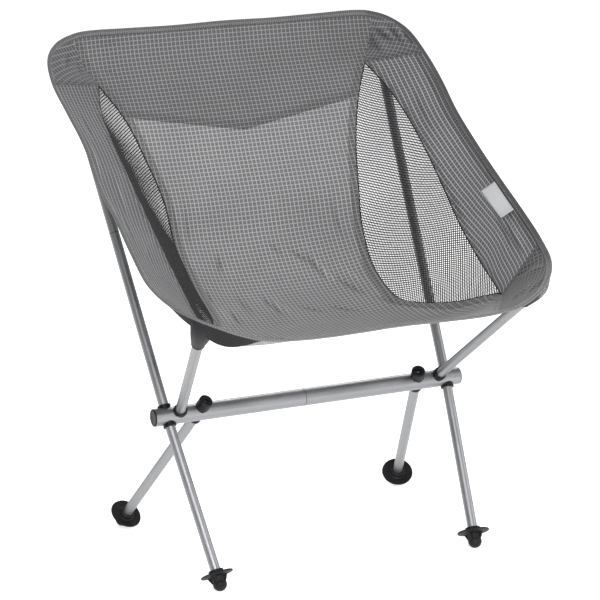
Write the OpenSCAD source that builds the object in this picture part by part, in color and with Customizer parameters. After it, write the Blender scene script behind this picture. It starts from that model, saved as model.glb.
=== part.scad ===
/* [Pole and beam tubes] */
// Outer diameter of the crosswise beam tube
beam_d = 22.5; // [21:0.5:24]
// Wall of the beam tube
beam_wall = 1.2; // [0.8:0.1:1.6]
// Half length of the beam, over its end plugs
beam_half = 216; // [212:1:230]
// Height of the beam's axis above the floor
beam_z = 193; // [185:1:200]
// Place of the beam's axis from front to back
beam_y = -13; // [-15:1:-11]
// Where the two beam halves meet, from the middle
beam_joint_x = -9; // [-20:1:20]
// Outer diameter of the legs and poles
pole_d = 12.8; // [12:0.1:13]
// Wall of the legs and poles
pole_wall = 1; // [0.8:0.1:1.2]
// Radial clearance of a pole on a spigot or in a socket
fit_gap = 0.06; // [0.04:0.01:0.1]

/* [Back poles] */
// Distance of each back pole socket from the middle
back_x = 197; // [195:1:200]
// Length from the beam's axis to the joint between pole sections
back_joint = 247; // [230:1:260]
// Length from the beam's axis to the end of the tube
back_len = 488; // [484:1:490]

/* [Seat poles] */
// Distance of each seat pole socket from the middle
seat_x = 180; // [179:1:180]
// Length from the beam's axis to the end of the tube
seat_len = 248; // [244:1:250]

/* [Legs] */
// Distance of each rear leg socket from the middle
rear_x = 154; // [150:1:155]
// Length of the spigot that each leg slides over
spigot_len = 48; // [40:1:56]
// Radius of the ball at the bottom of a foot
ball_r = 8.8; // [8.6:0.1:9.5]
// Outer radius of the ground disc on a foot
disc_r = 21; // [16:1:22]

/* [Sling] */
// Thickness of a fabric panel
cloth = 1.6; // [1.2:0.1:2]
// Width of the folded edge
hem_w = 7; // [5:1:8]
// Gap left along a sewn seam between two panels
seam_gap = 0.5; // [0.4:0.1:1]

/* [Hidden] */
$fn = 64;

// Directions of the right-hand poles and legs, away from the beam
BACK_DIR = [0.066, 0.655, 1];
FRONT_DIR = [-0.1, -0.654, -1];
SEAT_DIR = [0.291, -1.139, 1];
REAR_DIR = [0.26, 0.802, -1];

pole_r = pole_d / 2;
bore_r = pole_r - pole_wall;
spigot_r = bore_r - fit_gap;
spigot_bore_r = spigot_r - 1.6;
socket_bore_r = pole_r + fit_gap;
liner_r = 7.9;
lip_r = 8.6;
knob_r = 8.9;
seat_r = knob_r + 0.15;
collar_end = 14.5;
pole_seat = 3;
cord_r = 1.5;
ferrule_half = 36;
ball_z = ball_r - 0.4;
front_ball_s = (beam_z - ball_z) * norm(FRONT_DIR);
rear_ball_s = (beam_z - ball_z) * norm(REAR_DIR);
leg_stop = 5.4;
label_lift = 0.3;
hem_raise = 0.6;
hem_gap = 0.5;
pouch_gap = 1.2;
hole_gap = 0.12;

// Cloth is offset away from this point, which lies in front of and above the seat
CLOTH_CENTRE = [0, -218, 840];

// Right-hand half of the sling's outer edge, from the front middle to the top middle
EDGE = [
    [0, -265, 353], [46, -266, 352], [92, -265, 351], [134, -261, 351], [176, -251, 354],
    [218, -229, 367], [253, -184, 382], [267, -133, 400], [268, -83, 426], [266, -27, 456],
    [266, 31, 486], [262, 86, 524], [265, 136, 557], [266, 184, 585], [259, 220, 610],
    [241, 241, 626], [216, 249, 635], [189, 252, 638], [133, 254, 637], [69, 255, 636],
    [0, 255, 637]];
EDGE_FRONT_SEAM = 3;
EDGE_WING_FRONT = 7;
EDGE_WING_BACK = 13;
EDGE_TOP_SEAM = 16;

// Seam between the middle panels and the mesh, from the top edge down to the front edge
SEAM = [
    [216, 249, 635], [205, 237, 598], [191, 219, 572], [166, 188, 529], [149, 159, 478],
    [138, 129, 430], [133, 107, 378], [127, 61, 334], [129, -1, 308], [148, -36, 306],
    [172, -89, 318], [188, -125, 332], [199, -154, 340], [134, -261, 351]];
SEAM_MESH_TOP = 2;
SEAM_MESH_END = 12;
SEAM_END = 13;

// How far the cloth between the two seams bows back and down, and how flat it lies,
// at each point of SEAM
BOW = [
    [6, 2, 4], [7, 0, 4], [8, -2, 4], [8, -5, 3], [10, -5, 2.6], [12, -5, 2.4], [10, -8, 2.4],
    [8, -14, 3], [0, -12, 4], [0, -13, 6], [0, -22, 8], [-2, -24, 8], [-12, -19, 7], [-4, 2, 5]];

// Seam between the mesh and the wing, from the top down to the front
WING_SEAM = [
    [191, 219, 572], [204, 177, 545], [208, 129, 517], [208, 72, 480], [206, 20, 443],
    [203, -38, 401], [202, -94, 367], [202, -125, 351], [199, -154, 340]];
WING_END = 8;

// Seam under the headrest: height at the sides and depth of its shallow V
HEADREST_SEAM = 2.86;
HEADREST_DIP = 0.5;

// A smooth curve through the points p, at place s counted in points
function smooth_curve(p, a, b, c, d, t) =
    0.5 * (2 * b + (c - a) * t + (2 * a - 5 * b + 4 * c - d) * t * t
        + (3 * b - a - 3 * c + d) * t * t * t);
function along(p, s) =
    let (n = len(p) - 1, i = max(min(floor(s), n - 1), 0))
    smooth_curve(p, p[max(i - 1, 0)], p[i], p[i + 1], p[min(i + 2, n)], s - i);
function mirrored(p) = [-p.x, p.y, p.z];
EDGE_LOOP = concat(EDGE, [for (i = [len(EDGE) - 2 : -1 : 1]) mirrored(EDGE[i])]);
function edge(s) =
    let (n = len(EDGE_LOOP), i = floor(s))
    smooth_curve(EDGE_LOOP, EDGE_LOOP[(i - 1 + n) % n], EDGE_LOOP[(i + n) % n],
        EDGE_LOOP[(i + 1 + n) % n], EDGE_LOOP[(i + 2 + n) % n], s - i);
function unit(v) = v / norm(v);
function mix(a, b, t) = a * (1 - t) + b * t;
function ease(t) = let (c = max(0, min(1, t))) c * c * (3 - 2 * c);
function outward(p) = unit(p - CLOTH_CENTRE);
// Directions of the outer edge at s: across the cloth towards the middle, and away from the sitter
function edge_in(s) = unit(cross(edge(s + 0.02) - edge(s - 0.02), outward(edge(s))));
function edge_offset(s, in, out) = let (p = edge(s)) p + in * edge_in(s) + out * outward(p);
function hem_line(s) = edge_offset(s, hem_w + hem_gap, 0);
// The point of the hem line at x, on the stretch of EDGE from a to b
function hem_at(x, a, b) =
    let (p = hem_line(lookup(abs(x), [for (i = [a : b]) [EDGE[i].x, i]])))
    x < 0 ? mirrored(p) : p;

// Middle panels: u from -1 to 1 across, v along SEAM
function middle(u, v) =
    let (e = along(SEAM, v), g = along(BOW, v), f = 1 - pow(abs(u), g[2]))
    [u * e.x, e.y + g[0] * f, e.z + g[1] * f];
function headrest_seam(u) = HEADREST_SEAM + HEADREST_DIP * (1 - abs(u));
// Right-hand side panels: v from back to front, w from the inner to the outer boundary
function mesh_inner(v) = along(SEAM, mix(SEAM_MESH_TOP, SEAM_MESH_END, v));
function wing_inner(v) = along(WING_SEAM, WING_END * v);
function wing_outer(v) = hem_line(mix(EDGE_WING_BACK, EDGE_WING_FRONT, v));
function top_inner(v) = along(SEAM, mix(SEAM_MESH_TOP, 0, v));
function top_outer(v) = hem_line(mix(EDGE_WING_BACK, EDGE_TOP_SEAM, v));
function front_inner(v) = along(SEAM, mix(SEAM_MESH_END, SEAM_END, v));
function front_outer(v) = hem_line(mix(EDGE_WING_FRONT, EDGE_FRONT_SEAM, v));
// A point between two boundaries, kept clear of a seam at a and at b
function between(a, b, w, clear_a, clear_b) =
    let (d = max(norm(b - a), 0.01))
    mix(a, b, mix(clear_a / d, 1 - clear_b / d, w));

module right_side() children();
module left_side() mirror([1, 0, 0]) children();
// Puts +Z along a direction that leaves the beam's axis at x
module on_axis(x, dir)
    translate([x, beam_y, beam_z])
        rotate([0, acos(dir.z / norm(dir)), atan2(dir.y, dir.x)])
            children();
module tube(r, bore, from, to)
    translate([0, 0, from])
        difference() {
            cylinder(r = r, h = to - from);
            translate([0, 0, -1]) cylinder(r = bore, h = to - from + 2);
        }
module turned(profile) rotate_extrude() polygon(profile);
// Solid sheet between two grids of points
module sheet(inner, outer) {
    rows = len(inner);
    cols = len(inner[0]);
    half = rows * cols;
    points = concat([for (row = inner) each row], [for (row = outer) each row]);
    function id(i, j) = i * cols + j;
    function quad(a, b, c, d) = [[a, b, c], [a, c, d]];
    faces = concat(
        [for (i = [0 : rows - 2]) for (j = [0 : cols - 2])
            each quad(id(i, j), id(i, j + 1), id(i + 1, j + 1), id(i + 1, j))],
        [for (i = [0 : rows - 2]) for (j = [0 : cols - 2])
            each quad(half + id(i, j), half + id(i + 1, j),
                half + id(i + 1, j + 1), half + id(i, j + 1))],
        [for (i = [0 : rows - 2])
            each quad(id(i, 0), id(i + 1, 0), half + id(i + 1, 0), half + id(i, 0))],
        [for (i = [0 : rows - 2])
            each quad(id(i + 1, cols - 1), id(i, cols - 1),
                half + id(i, cols - 1), half + id(i + 1, cols - 1))],
        [for (j = [0 : cols - 2])
            each quad(id(0, j + 1), id(0, j), half + id(0, j), half + id(0, j + 1))],
        [for (j = [0 : cols - 2])
            each quad(id(rows - 1, j), id(rows - 1, j + 1),
                half + id(rows - 1, j + 1), half + id(rows - 1, j))]);
    polyhedron(points, faces);
}
module cloth_sheet(grid)
    sheet(grid, [for (row = grid) [for (p = row) p + cloth * outward(p)]]);

// ---- frame ----
module socket_hole(seat_at) {
    cylinder(r = liner_r + hole_gap, h = 2 * beam_d, center = true);
    translate([0, 0, seat_at]) cylinder(r = seat_r, h = beam_d);
}
module socket_holes() {
    on_axis(back_x, BACK_DIR) socket_hole(11.7);
    on_axis(back_x, FRONT_DIR) socket_hole(11.7);
    on_axis(seat_x, SEAT_DIR) socket_hole(10.6);
    on_axis(rear_x, REAR_DIR) socket_hole(11.7);
    on_axis(rear_x, -REAR_DIR) socket_hole(10.5);
}
module beam_tube(from, to)
    color("silver") difference() {
        translate([from, beam_y, beam_z]) rotate([0, 90, 0])
            tube(beam_d / 2, beam_d / 2 - beam_wall, 0, to - from);
        right_side() socket_holes();
        left_side() socket_holes();
    }
plug_rim = 1.6;
module beam_left() beam_tube(plug_rim - beam_half, beam_joint_x - 0.1);
module beam_right() beam_tube(beam_joint_x + 0.1, beam_half - plug_rim);
module beam_ferrule()
    color("gainsboro") translate([beam_joint_x, beam_y, beam_z]) rotate([0, 90, 0])
        tube(beam_d / 2 - beam_wall - fit_gap, beam_d / 2 - beam_wall - 1.3, -52, 52);
module beam_plug() {
    r_in = beam_d / 2 - beam_wall - 0.05;
    color("dimgray") translate([beam_half, beam_y, beam_z]) rotate([0, -90, 0])
        turned([
            [0, 0.4], [beam_d / 2 - 1.6, 0], [beam_d / 2 - 0.2, 0.6], [beam_d / 2 - 0.2, plug_rim - 0.05],
            [r_in, plug_rim - 0.05], [r_in, 8], [r_in - 1.5, 8], [r_in - 1.5, 3], [0, 3]]);
}

// The back pole and the front leg meet at a slight angle, in a ball at the beam's axis
module back_hub(r) translate([back_x, beam_y, beam_z]) sphere(r = r);
module back_arms() {
    on_axis(back_x, BACK_DIR) children();
    on_axis(back_x, FRONT_DIR) children();
}
module back_socket()
    color("dimgray") difference() {
        union() {
            back_hub(8.6);
            back_arms() turned([
                [0, 2], [liner_r, 2], [liner_r, 11.8], [lip_r, 12.2], [lip_r, 14.1],
                [lip_r - 0.5, collar_end], [0, collar_end]]);
        }
        back_hub(5.9);
        back_arms() translate([0, 0, pole_seat]) cylinder(r = socket_bore_r, h = 20);
        back_arms() translate([0, 0, 2.2]) cylinder(r = spigot_r + 0.05, h = 20);
    }
module seat_socket() {
    dome_at = -7.8;
    dome = [for (a = [-90 : 15 : 0]) [liner_r * cos(a), dome_at + liner_r * sin(a)]];
    color("dimgray") on_axis(seat_x, SEAT_DIR)
        turned(concat([[0, dome_at - liner_r]], [for (i = [1 : len(dome) - 1]) dome[i]], [
            [liner_r, 10.8], [lip_r, 11.2], [lip_r, 12.8], [lip_r - 0.7, 13.2], [lip_r - 0.7, 14],
            [lip_r, 14.4], [lip_r, 15.8], [lip_r - 0.5, 16.2], [socket_bore_r, 16.2],
            [socket_bore_r, pole_seat], [spigot_r + 0.05, pole_seat],
            [spigot_r + 0.05, -6], [0, -6]]));
}
module rear_socket()
    color("dimgray") on_axis(rear_x, -REAR_DIR)
        turned([
            [1.8, 6], [spigot_r + 0.05, 6], [spigot_r + 0.05, -pole_seat],
            [socket_bore_r, -pole_seat], [socket_bore_r, -collar_end], [lip_r - 0.5, -collar_end],
            [lip_r, -14.1], [lip_r, -12.2], [liner_r, -11.8], [liner_r, 10.6], [knob_r, 11.4],
            [knob_r, 23.6], [knob_r - 1.2, 25], [3.6, 25], [3.2, 24.4], [3.2, 16], [1.8, 16]]);

module spigot_tube(from, to) tube(spigot_r, spigot_bore_r, from, to);
module back_spigot()
    color("gainsboro") difference() {
        union() {
            back_hub(5.75);
            back_arms() translate([0, 0, 2]) cylinder(r = spigot_r, h = spigot_len - 2);
        }
        back_hub(4.3);
        back_arms() translate([0, 0, 2]) cylinder(r = spigot_bore_r, h = spigot_len);
    }
module seat_spigot() color("gainsboro") on_axis(seat_x, SEAT_DIR) spigot_tube(-5.9, spigot_len);
module rear_spigot() color("gainsboro") on_axis(rear_x, REAR_DIR) spigot_tube(-5.9, spigot_len);

module pole(from, to) color("silver") tube(pole_r, bore_r, from, to);
module back_pole_lower() on_axis(back_x, BACK_DIR) pole(pole_seat + 0.2, back_joint - 0.1);
module back_pole_upper() on_axis(back_x, BACK_DIR) pole(back_joint + 0.1, back_len);
module back_ferrule()
    color("gainsboro") on_axis(back_x, BACK_DIR)
        tube(spigot_r, spigot_r - 1, back_joint - ferrule_half, back_joint + ferrule_half);
module seat_pole() on_axis(seat_x, SEAT_DIR) pole(pole_seat + 0.2, seat_len);
module pole_tip(at)
    color("dimgray") translate([0, 0, at]) turned([
        [0, -12], [spigot_r - 0.3, -12], [spigot_r, -11], [spigot_r, 0.05], [pole_r, 0.05], [pole_r, 3.5],
        [pole_r - 1, 5.6], [pole_r - 3, 6.8], [0, 7.2]]);
module back_tip() on_axis(back_x, BACK_DIR) pole_tip(back_len);
module seat_tip() on_axis(seat_x, SEAT_DIR) pole_tip(seat_len);

module front_leg() on_axis(back_x, FRONT_DIR) pole(pole_seat + 0.2, front_ball_s - leg_stop);
module rear_leg() on_axis(rear_x, REAR_DIR) pole(pole_seat + 0.2, rear_ball_s - leg_stop);

// Foot, upside down: z = 0 at the centre of the ball, +Z towards the floor
module foot(ball_s) {
    rib_r = 13.5;
    difference() {
        union() {
            sphere(r = ball_r);
            turned([
                [0, -2], [8.2, -2], [8.2, -9.2], [11, -9.8], [disc_r - 0.8, -11.6], [disc_r, -12.4],
                [disc_r - 0.6, -13.6], [11.5, -12.2], [9.6, -13], [9.6, -17.6], [8.8, -18.4],
                [0, -18.4]]);
            for (a = [45, 135]) rotate([90, 0, a])
                linear_extrude(2.6, center = true)
                    polygon([[-rib_r, -11], [-7, 1.5], [7, 1.5], [rib_r, -11]]);
        }
        translate([0, 0, -40]) cylinder(r = pole_r, h = 40 - leg_stop);
    }
}
module floor_cut() translate([-400, -400, -40]) cube([800, 800, 40]);
module front_foot()
    color("dimgray") difference() {
        on_axis(back_x, FRONT_DIR) translate([0, 0, front_ball_s]) foot();
        floor_cut();
    }
module rear_foot()
    color("dimgray") difference() {
        on_axis(rear_x, REAR_DIR) translate([0, 0, rear_ball_s]) foot();
        floor_cut();
    }

// ---- shock cords, tied off with a knot at each end ----
module cord_run(from, to) {
    translate([0, 0, from]) cylinder(r = cord_r, h = to - from, $fn = 24);
    translate([0, 0, to]) sphere(r = 2.6, $fn = 24);
}
module beam_cord()
    color("darkorange") translate([0, beam_y, beam_z]) rotate([0, 90, 0]) {
        cord_run(0, 138);
        rotate([180, 0, 0]) cord_run(0, 138);
    }
module back_cord()
    color("darkorange") {
        back_hub(1.9, $fn = 24);
        on_axis(back_x, BACK_DIR) cord_run(0.8, back_len - 18);
        on_axis(back_x, FRONT_DIR) cord_run(0.8, front_ball_s - 12);
    }
module seat_cord() color("darkorange") on_axis(seat_x, SEAT_DIR) cord_run(-4, seat_len - 18);
module rear_cord()
    color("darkorange") on_axis(rear_x, REAR_DIR) {
        cord_run(-18, rear_ball_s - 12);
        translate([0, 0, -18.8]) sphere(r = 2.6, $fn = 24);
    }

// ---- sling ----
side_inset = 0.004;
seam_step = 0.01;
top_half = 213.5;
front_half = 138.6;
SIDES = [for (i = [-9 : 9]) i / 9 * (1 - side_inset)];
function spread(n, a, b) = [for (i = [0 : n]) mix(a, b, i / n)];
module headrest_panel()
    color("gray") cloth_sheet(concat(
        [[for (u = SIDES) hem_at(u * top_half, EDGE_TOP_SEAM, len(EDGE) - 1)]],
        [for (t = spread(8, 0, 1)) [for (u = SIDES)
            middle(u, mix(0.45, headrest_seam(u) - seam_step, t))]]));
module centre_panel()
    color("darkgray") cloth_sheet(concat(
        [for (t = spread(25, 0, 1)) [for (u = SIDES)
            middle(u, mix(headrest_seam(u) + seam_step, SEAM_END - 0.17, t))]],
        [[for (u = SIDES) hem_at(u * front_half, 0, EDGE_FRONT_SEAM + 1)]]));
module mesh()
    color("dimgray") cloth_sheet([for (v = spread(20, 0.03, 0.96)) [for (w = spread(3, 0, 1))
        between(mesh_inner(v), wing_inner(v), w, seam_gap, seam_gap)]]);
wing_rows = 22;
wing_cols = 8;
function wing_point(i, j) =
    let (v = mix(0.004, 0.996, i / wing_rows))
    between(wing_inner(v), wing_outer(v), j / wing_cols, seam_gap, 0);
module wing()
    color("gray") cloth_sheet([for (i = [0 : wing_rows]) [for (j = [0 : wing_cols])
        wing_point(i, j)]]);

// Pouch behind a corner patch: it stands out far enough to hold a pole's end
function pouch(p, x, dir, tip_s, reach) =
    let (
        a = unit(dir),
        tip = [x, beam_y, beam_z] + tip_s * a,
        e = unit(cross(a, outward(tip))),
        n = cross(e, a),
        side = abs((p - tip) * e),
        beyond = (p - tip) * a,
        depth = (tip - p) * n)
    p + cloth * outward(p) + n * max(depth + pole_r - 0.4, 0) * ease(1.15 - side / reach)
        * ease((20 - beyond) / 10);
module pocket(grid, x, dir, tip_s, reach)
    difference() {
        sheet(grid, [for (row = grid) [for (p = row) pouch(p, x, dir, tip_s, reach)]]);
        on_axis(x, dir) translate([0, 0, 20]) cylinder(r = pole_r + 0.2, h = tip_s - 12);
    }
module back_pocket()
    color("gray") pocket([for (v = spread(12, 0.01, 0.86)) [for (w = spread(10, 0, 1))
        between(top_inner(v), top_outer(v), w, seam_gap, pouch_gap)]],
        back_x, BACK_DIR, back_len, 26);
module front_pocket()
    color("gray") pocket([for (v = spread(12, 0.01, 0.87)) [for (w = spread(10, 0, 1))
        between(front_inner(v), front_outer(v), w, seam_gap, pouch_gap)]],
        seat_x, SEAT_DIR, seat_len, 22);

module edge_binding() {
    n = 240;
    points = [for (i = [0 : n - 1])
        let (s = len(EDGE_LOOP) * i / n)
        each [edge_offset(s, 0, -hem_raise), edge_offset(s, hem_w, -hem_raise),
            edge_offset(s, hem_w, cloth + hem_raise), edge_offset(s, 0, cloth + hem_raise)]];
    faces = [for (i = [0 : n - 1]) for (j = [0 : 3])
        let (a = 4 * i + j, b = 4 * i + (j + 1) % 4, k = 4 * ((i + 1) % n))
        each [[a, b, k + (j + 1) % 4], [a, k + (j + 1) % 4, k + j]]];
    color("dimgray") polyhedron(points, faces);
}
module side_label() {
    grid = [for (i = [14 : 17]) [for (j = [5 : 7])
        let (p = wing_point(i, j)) p - (label_lift + 1) * outward(p)]];
    color("lightgray") sheet(grid, [for (row = grid) [for (p = row) p + outward(p)]]);
}

beam_left();
beam_right();
beam_ferrule();
left_side() beam_plug();  // beam_plug_left
right_side() beam_plug();  // beam_plug_right
left_side() back_socket();  // back_socket_left
right_side() back_socket();  // back_socket_right
left_side() seat_socket();  // seat_socket_left
right_side() seat_socket();  // seat_socket_right
left_side() rear_socket();  // rear_socket_left
right_side() rear_socket();  // rear_socket_right
left_side() back_spigot();  // back_spigot_left
right_side() back_spigot();  // back_spigot_right
left_side() seat_spigot();  // seat_spigot_left
right_side() seat_spigot();  // seat_spigot_right
left_side() rear_spigot();  // rear_spigot_left
right_side() rear_spigot();  // rear_spigot_right
left_side() back_pole_lower();  // back_pole_lower_left
right_side() back_pole_lower();  // back_pole_lower_right
left_side() back_pole_upper();  // back_pole_upper_left
right_side() back_pole_upper();  // back_pole_upper_right
left_side() back_ferrule();  // back_ferrule_left
right_side() back_ferrule();  // back_ferrule_right
left_side() back_tip();  // back_tip_left
right_side() back_tip();  // back_tip_right
left_side() seat_pole();  // seat_pole_left
right_side() seat_pole();  // seat_pole_right
left_side() seat_tip();  // seat_tip_left
right_side() seat_tip();  // seat_tip_right
left_side() front_leg();  // front_leg_left
right_side() front_leg();  // front_leg_right
left_side() rear_leg();  // rear_leg_left
right_side() rear_leg();  // rear_leg_right
left_side() front_foot();  // front_foot_left
right_side() front_foot();  // front_foot_right
left_side() rear_foot();  // rear_foot_left
right_side() rear_foot();  // rear_foot_right
beam_cord();
left_side() back_cord();  // back_cord_left
right_side() back_cord();  // back_cord_right
left_side() seat_cord();  // seat_cord_left
right_side() seat_cord();  // seat_cord_right
left_side() rear_cord();  // rear_cord_left
right_side() rear_cord();  // rear_cord_right
centre_panel();
headrest_panel();
left_side() mesh();  // mesh_left
right_side() mesh();  // mesh_right
left_side() wing();  // wing_left
right_side() wing();  // wing_right
left_side() back_pocket();  // back_pocket_left
right_side() back_pocket();  // back_pocket_right
left_side() front_pocket();  // front_pocket_left
right_side() front_pocket();  // front_pocket_right
edge_binding();
side_label();
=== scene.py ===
import math

import bpy
import numpy as np
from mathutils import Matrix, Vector, noise


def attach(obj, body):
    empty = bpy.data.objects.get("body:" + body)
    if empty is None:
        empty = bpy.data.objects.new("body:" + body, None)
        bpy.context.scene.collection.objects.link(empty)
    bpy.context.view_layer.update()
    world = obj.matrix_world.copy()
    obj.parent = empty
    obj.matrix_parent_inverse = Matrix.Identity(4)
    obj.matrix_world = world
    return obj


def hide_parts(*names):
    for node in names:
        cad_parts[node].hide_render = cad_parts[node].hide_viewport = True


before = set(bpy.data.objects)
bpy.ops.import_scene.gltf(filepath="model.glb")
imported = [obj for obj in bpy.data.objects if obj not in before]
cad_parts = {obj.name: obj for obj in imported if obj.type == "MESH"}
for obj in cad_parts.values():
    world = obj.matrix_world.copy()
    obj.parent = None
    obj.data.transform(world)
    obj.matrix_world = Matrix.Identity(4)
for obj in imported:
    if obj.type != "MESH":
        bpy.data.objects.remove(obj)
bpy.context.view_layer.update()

ROOT = "frame_and_sling"
MM = 0.001
SIDES = (("left", -1), ("right", 1))

# ---------------------------------------------------------------- shape, in mm
# The same curves as the CAD model in model.glb.
BEAM_Y, BEAM_Z = -13.0, 193.0
POLE_R, BEAM_R = 6.4, 11.25
BEAM_JOINT_X, BACK_JOINT = -9.0, 247.0  # where tube ends meet: on X, and up the back pole
BACK_X, SEAT_X = 197.0, 180.0
BACK_DIR = (0.066, 0.655, 1.0)
FRONT_DIR = (-0.1, -0.654, -1.0)
SEAT_DIR = (0.291, -1.139, 1.0)
REAR_DIR = (0.26, 0.802, -1.0)
BACK_TIP = 495.0
SEAT_TIP = 255.0
CLOTH_CENTRE = np.array([0.0, -218.0, 840.0])
CLOTH_MID = 0.8
EDGE = np.array([
    (0, -265, 353), (46, -266, 352), (92, -265, 351), (134, -261, 351), (176, -251, 354),
    (218, -229, 367), (253, -184, 382), (267, -133, 400), (268, -83, 426), (266, -27, 456),
    (266, 31, 486), (262, 86, 524), (265, 136, 557), (266, 184, 585), (259, 220, 610),
    (241, 241, 626), (216, 249, 635), (189, 252, 638), (133, 254, 637), (69, 255, 636),
    (0, 255, 637)], float)
EDGE_FRONT_SEAM, EDGE_WING_FRONT, EDGE_WING_BACK, EDGE_TOP_SEAM = 3, 7, 13, 16
SEAM = np.array([
    (216, 249, 635), (205, 237, 598), (191, 219, 572), (166, 188, 529), (149, 159, 478),
    (138, 129, 430), (133, 107, 378), (127, 61, 334), (129, -1, 308), (148, -36, 306),
    (172, -89, 318), (188, -125, 332), (199, -154, 340), (134, -261, 351)], float)
SEAM_MESH_TOP, SEAM_MESH_END, SEAM_END = 2, 12, 13
BOW = np.array([
    (6, 2, 4), (7, 0, 4), (8, -2, 4), (8, -5, 3), (10, -5, 2.6), (12, -5, 2.4), (10, -8, 2.4),
    (8, -14, 3), (0, -12, 4), (0, -13, 6), (0, -22, 8), (-2, -24, 8), (-12, -19, 7), (-4, 2, 5)],
    float)
WING_SEAM = np.array([
    (191, 219, 572), (204, 177, 545), (208, 129, 517), (208, 72, 480), (206, 20, 443),
    (203, -38, 401), (202, -94, 367), (202, -125, 351), (199, -154, 340)], float)
WING_END = 8
HEADREST_SEAM, HEADREST_DIP = 2.86, 0.5
EDGE_LOOP = np.vstack([EDGE, EDGE[-2:0:-1] * [-1, 1, 1]])


def spline(points, s, closed=False):
    """Smooth curve through the points, at place s counted in points."""
    s = np.asarray(s, float)
    n = len(points)
    if closed:
        i = np.floor(s).astype(int)
        near = [points[(i + k) % n] for k in (-1, 0, 1, 2)]
    else:
        i = np.clip(np.floor(s).astype(int), 0, n - 2)
        near = [points[np.clip(i + k, 0, n - 1)] for k in (-1, 0, 1, 2)]
    t = (s - i)[..., None]
    a, b, c, d = near
    return 0.5 * (2 * b + (c - a) * t + (2 * a - 5 * b + 4 * c - d) * t**2
                  + (3 * b - a - 3 * c + d) * t**3)


def edge(s):
    return spline(EDGE_LOOP, s, closed=True)


def unit(v):
    v = np.asarray(v, float)
    return v / np.maximum(np.linalg.norm(v, axis=-1, keepdims=True), 1e-9)


def outward(p):
    return unit(p - CLOTH_CENTRE)


def mix(a, b, t):
    return a + (b - a) * t


def ease(t):
    t = np.clip(t, 0, 1)
    return t * t * (3 - 2 * t)


def middle(u, v):
    """Point on the middle panels: u from one seam to the other, v down them, counted in points."""
    e, g = spline(SEAM, v), spline(BOW, v)
    f = 1 - np.abs(u) ** g[..., 2]
    return np.stack([u * e[..., 0], e[..., 1] + g[..., 0] * f, e[..., 2] + g[..., 1] * f], -1)


def headrest_seam(u):
    return HEADREST_SEAM + HEADREST_DIP * (1 - np.abs(u))


def mesh_inner(v):
    return spline(SEAM, mix(SEAM_MESH_TOP, SEAM_MESH_END, v))


def wing_inner(v):
    return spline(WING_SEAM, WING_END * v)


def wing_outer(v):
    return edge(mix(EDGE_WING_BACK, EDGE_WING_FRONT, v))


def top_inner(v):
    return spline(SEAM, mix(SEAM_MESH_TOP, 0, v))


def top_outer(v):
    return edge(mix(EDGE_WING_BACK, EDGE_TOP_SEAM, v))


def front_inner(v):
    return spline(SEAM, mix(SEAM_MESH_END, SEAM_END, v))


def front_outer(v):
    return edge(mix(EDGE_WING_FRONT, EDGE_FRONT_SEAM, v))


def arc(points):
    """Length along a row of points, from 0."""
    return np.concatenate([[0], np.cumsum(np.linalg.norm(np.diff(points, axis=0), axis=1))])


# ---------------------------------------------------------------- small helpers
def noise_at(points, scale, seed):
    """Smooth noise from -1 to 1 at each point."""
    flat = points.reshape(-1, 3) / scale + seed
    return np.array([noise.noise(Vector(p)) for p in flat]).reshape(points.shape[:-1])


def creases(x, y, lines):
    """Height of narrow folds drawn as straight lines (x0, y0, x1, y1, width, height)."""
    h = np.zeros_like(x)
    for x0, y0, x1, y1, width, height in lines:
        dx, dy = x1 - x0, y1 - y0
        t = ((x - x0) * dx + (y - y0) * dy) / (dx * dx + dy * dy)
        off = np.hypot(x - x0 - np.clip(t, 0, 1) * dx, y - y0 - np.clip(t, 0, 1) * dy)
        taper = ease(1.6 * np.clip(t, 0, 1)) * ease(1.6 * (1 - np.clip(t, 0, 1)))
        h += height * taper * np.exp(-(off / width) ** 2)
    return h


def fold_shade(fold_and_painted_shade, height):
    """Shade in the hollows of folds, and a little light on their ridges."""
    return np.maximum(fold_and_painted_shade, np.clip(height / 1.6, 0, 1)) - 0.5 * np.clip(-height / 1.6, 0, 1)


def object_from(name, verts, faces, material, uv=None, floats=None):
    """A mesh object from points in mm, riding on the frame."""
    data = bpy.data.meshes.new(name)
    data.from_pydata((np.asarray(verts, float) * MM).tolist(), [], [tuple(f) for f in faces])
    data.validate()
    if uv is not None:
        layer = data.uv_layers.new(name="cloth")
        index = np.zeros(len(data.loops), int)
        data.loops.foreach_get("vertex_index", index)
        layer.data.foreach_set("uv", (np.asarray(uv, float)[index] * MM).ravel())
    for key, values in (floats or {}).items():
        data.attributes.new(key, "FLOAT", "POINT").data.foreach_set("value", np.ravel(values))
    data.polygons.foreach_set("use_smooth", [True] * len(data.polygons))
    data.materials.append(material)
    made = bpy.data.objects.new(name, data)
    bpy.context.scene.collection.objects.link(made)
    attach(made, ROOT)
    return made


def grid_faces(rows, cols, around=False):
    """Four-sided faces between a grid's points; around joins each row's two ends."""
    faces = []
    for i in range(rows - 1):
        for j in range(cols if around else cols - 1):
            k = (j + 1) % cols
            faces.append((i * cols + j, i * cols + k, (i + 1) * cols + k, (i + 1) * cols + j))
    return faces


def cloth_piece(name, grid, material, uv, floats, thick=0.7, lift=CLOTH_MID):
    """A sheet of cloth from a grid of points on its sitter's side."""
    rows, cols, _ = grid.shape
    base = grid + lift * outward(grid)
    faces = grid_faces(rows, cols)
    here, beside = base[rows // 2, cols // 2: cols // 2 + 2]
    below = base[rows // 2 + 1, cols // 2]
    if np.cross(beside - here, below - here) @ outward(here) < 0:
        faces = [f[::-1] for f in faces]
    made = object_from(name, base.reshape(-1, 3), faces, material, uv=uv.reshape(-1, 2),
                       floats={k: v.ravel() for k, v in floats.items()})
    thicken(made, thick)
    return made


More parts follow.
